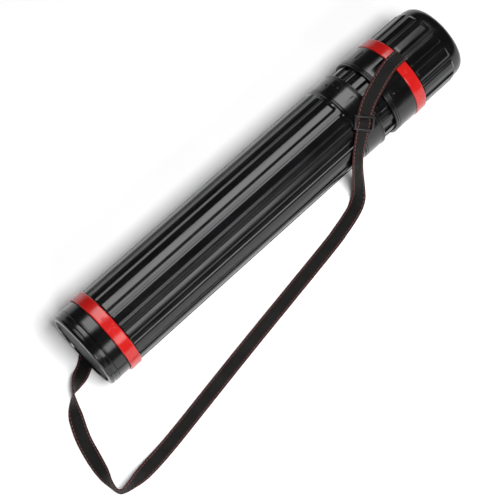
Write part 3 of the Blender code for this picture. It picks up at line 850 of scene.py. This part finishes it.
def ridge(radius, size, start_station, start_clock):
    """One start of the thread, tapering into the surface at both ends."""
    steps, sides, arc = 48, 10, 100.0
    t = np.linspace(0.0, 1.0, steps)
    clock = start_clock + arc * t
    station = start_station + THREAD_LEAD * arc / 360.0 * t
    fat = size * np.sqrt(np.clip(np.minimum(t, 1 - t) / 0.05, 0.02, 1.0))
    tilt = np.linspace(0.0, 2 * math.pi, sides, endpoint=False)
    points = on_tube(station[:, None] + fat[:, None] * np.cos(tilt), clock[:, None],
                     radius + fat[:, None] * np.sin(tilt))
    faces = grid_faces(steps, sides, False, True)
    faces += [tuple(range(sides)), tuple(range((steps - 1) * sides, steps * sides))]
    return mesh_object("ridge", points.reshape(-1, 3), faces, BLACK)


def thread(radius, size, station):
    """All the thread's starts, evenly round the tube."""
    step = 360.0 / THREAD_STARTS
    return [ridge(radius, size, station, 180.0 + step * k) for k in range(THREAD_STARTS)]


def make_head():
    """The fixed head: double bead, strap pocket, the upper ring's seat and the threaded neck."""
    clocks = merged_clocks(PLAIN_CLOCKS, pocket_columns(UPPER_LOOP_CLOCK))
    bore, neck, crest, mouth, rim = 36.0, 38.0, 43.5, 384.4, 41.9
    pocket_start, seat_start = 400.0, 411.6
    corners = [
        (bore, 462.2, 0.3), (36.9, 463.0, 0.3), (37.6, 463.0, 0.3), (neck, 462.4, 0.3),
        (neck, 431.2, 0.1), (37.0, 431.0, 0.1), (37.0, 428.0, 0.1), (neck, 427.8, 0.1),
        (neck, 425.6, 0.1), (rim, 425.6, 0.1), (rim, 424.9, 0.1), (RING_SEAT, 424.8, 0.05),
        (RING_SEAT, seat_start, 0.1), (HEAD_RADIUS, seat_start, 0.4), (HEAD_RADIUS, 389.4, 0.3),
        (42.7, 388.9, 0.15), (42.7, 388.4, 0.15), (crest, 387.9, 0.35), (crest, 387.0, 0.35),
        (42.7, 386.6, 0.2), (42.7, 386.2, 0.2), (crest, 385.8, 0.35), (crest, 384.9, 0.35),
        (43.1, mouth, 0.2), (40.85, mouth, 0.1), (40.85, 404.4, 0), (bore, 404.4, 0),
    ]
    profile = rounded(corners)
    pocket_stations = (410.5, 408.0, 404.0, pocket_start)
    split = next(i for i, (radius, station) in enumerate(profile)
                 if station < pocket_stations[0] and radius > 43.0)
    profile[split:split] = [(HEAD_RADIUS, station) for station in pocket_stations]
    rows = []
    for radius, station in profile:
        if radius > 41.0 and pocket_start <= station <= 426.4:
            floor = np.interp(station, [pocket_start, pocket_stations[0]], [43.8, POCKET_FLOOR])
            radius = pocket(clocks, UPPER_LOOP_CLOCK, radius, floor)
        rows.append((radius, station))
    head = turned("head_shell", rows, clocks, BLACK, 50.0)
    outlines = [
        bar_outline((395.5, -44.0), (402.5, -44.0), 0.9, HEAD_RADIUS),
        [(402.5, -46.6), (402.5, -41.4), (406.5, -44.0)],
        disc_outline(399.0, -35.5, 1.1, HEAD_RADIUS),
        disc_outline(396.5, 27.0, 1.1, HEAD_RADIUS),
        bar_outline((393.5, 33.5), (399.5, 33.5), 0.9, HEAD_RADIUS),
        [(399.5, 30.9), (399.5, 36.1), (403.5, 33.5)],
    ]
    marks = [patch(outline, HEAD_RADIUS, BLACK) for outline in outlines]
    join(head, thread(38.05, 0.8, 437.0) + marks)
    place_piece(head, "inner", "tube_head")


def make_seal():
    """The O-ring in the neck's groove."""
    radius, station, thickness = 38.1, 429.5, 0.85
    turns = np.linspace(0.0, 2 * math.pi, 16, endpoint=False)
    rows = [(radius + thickness * math.cos(t), station + thickness * math.sin(t)) for t in turns]
    seal = turned("seal_ring", rows, PLAIN_CLOCKS, RUBBER)
    place_piece(seal, "seal", "neck_seal")


def make_lid():
    """The ribbed screw lid, with a domed shoulder, a shallow end recess and the thread inside."""
    clocks = rib_columns(LID_CLOCK, RIB_HALF_WIDTH, RIB_SLOPE)
    ribs = rib_shape(clocks, LID_CLOCK, RIB_HALF_WIDTH, RIB_SLOPE)
    height = LID_RADIUS - LID_GROOVE
    bore, mouth = 39.3, 426.6
    rows = [(bore, mouth), (LID_GROOVE - 0.1, mouth)]
    for station in (mouth + 0.02, 426.8, 427.1, 427.5):
        lift = float(smooth((station - 426.3) / 1.1))
        rows.append((LID_GROOVE + ribs * (0.75 + 0.25 * lift) * height, station))
    for station in np.linspace(430.0, 460.0, 4):
        rows.append((LID_GROOVE + ribs * height, station))
    for station in np.linspace(463.5, 468.0, 14):
        fall = smooth((467.9 - station) / 3.2)
        rows.append((LID_GROOVE + ribs * fall * height, station))
    shoulder = [(LID_GROOVE, 468.4), (40.9, 481.2), (33.0, LID_FACE)]
    for t in np.arange(1, 25) / 24:
        weights = ((1 - t) ** 2, 2 * t * (1 - t), t * t)
        rows.append(tuple(sum(w * p[axis] for w, p in zip(weights, shoulder)) for axis in (0, 1)))
    recess, ceiling = LID_FACE - 0.2, LID_FACE - 3.0
    rows += rounded([
        (24.0, LID_FACE, 0), (23.6, recess, 0.2), (22.8, recess, 0.2), (22.4, LID_FACE, 0)])
    rows += [(0.0, LID_FACE), (0.0, ceiling), (34.5, ceiling), (38.0, 474.4), (bore, 470.0)]
    lid = turned("lid_shell", rows, clocks, BLACK, 50.0)
    join(lid, thread(39.4, 0.75, 434.0))
    place_piece(lid, "lid", "lid")


make_base_cap()
make_barrel()
make_ring("lower_ring", LOWER_RING_START, "lower_ring", "lower_strap_ring", 2.5)
make_collar()
make_inner_tube()
make_head()
make_ring("upper_ring", UPPER_RING_START, "upper_ring", "upper_strap_ring", 23.0)
make_seal()
make_lid()
# The two bearing rings inside keep their CAD shape
for hidden in ("guide_ring", "stop_ring"):
    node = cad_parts[hidden]
    node.data.materials.clear()
    node.data.materials.append(BLACK)


# ---------------------------------------------------------------- floor and light

def make_floor():
    """A wide white floor, faintly lit from within."""
    material, tree, shader = new_material("white_floor")
    colour = mottled(tree, noise(tree, 8.0, 2.0), (0.90, 0.90, 0.90), (0.93, 0.93, 0.93))
    tree.links.new(colour, shader.inputs["Base Color"])
    shader.inputs["Roughness"].default_value = 0.9
    shader.inputs["Specular IOR Level"].default_value = 0.1
    shader.inputs["Emission Color"].default_value = (1.0, 1.0, 1.0, 1.0)
    shader.inputs["Emission Strength"].default_value = 0.04
    bpy.ops.mesh.primitive_plane_add(size=6.0)
    floor = bpy.context.object
    floor.name = "floor"
    floor.data.materials.append(material)


def area_light(name, place, target, size, size_y, radiance, in_gloss=True, in_diffuse=True):
    """A soft box at a place in metres, as bright to look at as its radiance."""
    data = bpy.data.lights.new(name, "AREA")
    data.shape = "RECTANGLE"
    data.size = size
    data.size_y = size_y
    data.energy = radiance * math.pi * size * size_y
    light = bpy.data.objects.new(name, data)
    light.location = place
    aim = Vector(target) - Vector(place)
    light.rotation_euler = aim.to_track_quat("-Z", "Y").to_euler()
    light.visible_glossy = in_gloss
    light.visible_diffuse = in_diffuse
    bpy.context.scene.collection.objects.link(light)


def round_the_tube(x, clock, distance):
    """A place this far from the tube's axis, in metres."""
    turn = math.radians(clock)
    return x, -distance * math.sin(turn), AXIS_HEIGHT * MM + distance * math.cos(turn)


def make_world(strength):
    """An even white surround."""
    world = bpy.data.worlds.new("studio")
    world.use_nodes = True
    background = world.node_tree.nodes["Background"]
    background.inputs["Color"].default_value = (1.0, 1.0, 1.0, 1.0)
    background.inputs["Strength"].default_value = strength
    bpy.context.scene.world = world


make_floor()
make_world(0.05)
# The overhead box only shows in reflections, and the shadow light never does
area_light("overhead", round_the_tube(0.28, -25.0, 1.5), (0.2, 0.0, 0.0), 0.9, 1.0, 5.2,
           in_diffuse=False)
area_light("side", round_the_tube(0.12, 52.0, 1.6), (0.1, 0.0, 0.0), 0.6, 0.55, 4.6)
area_light("shadow", round_the_tube(0.0, 21.0, 2.0), (0.0, 0.0, 0.0), 0.7, 0.7, 31.0,
           in_gloss=False)
area_light("glint", (-0.85, -1.15, 0.95), (-0.23, 0.0, 0.04), 0.35, 0.35, 16.0)
bpy.context.scene.view_settings.view_transform = "Standard"
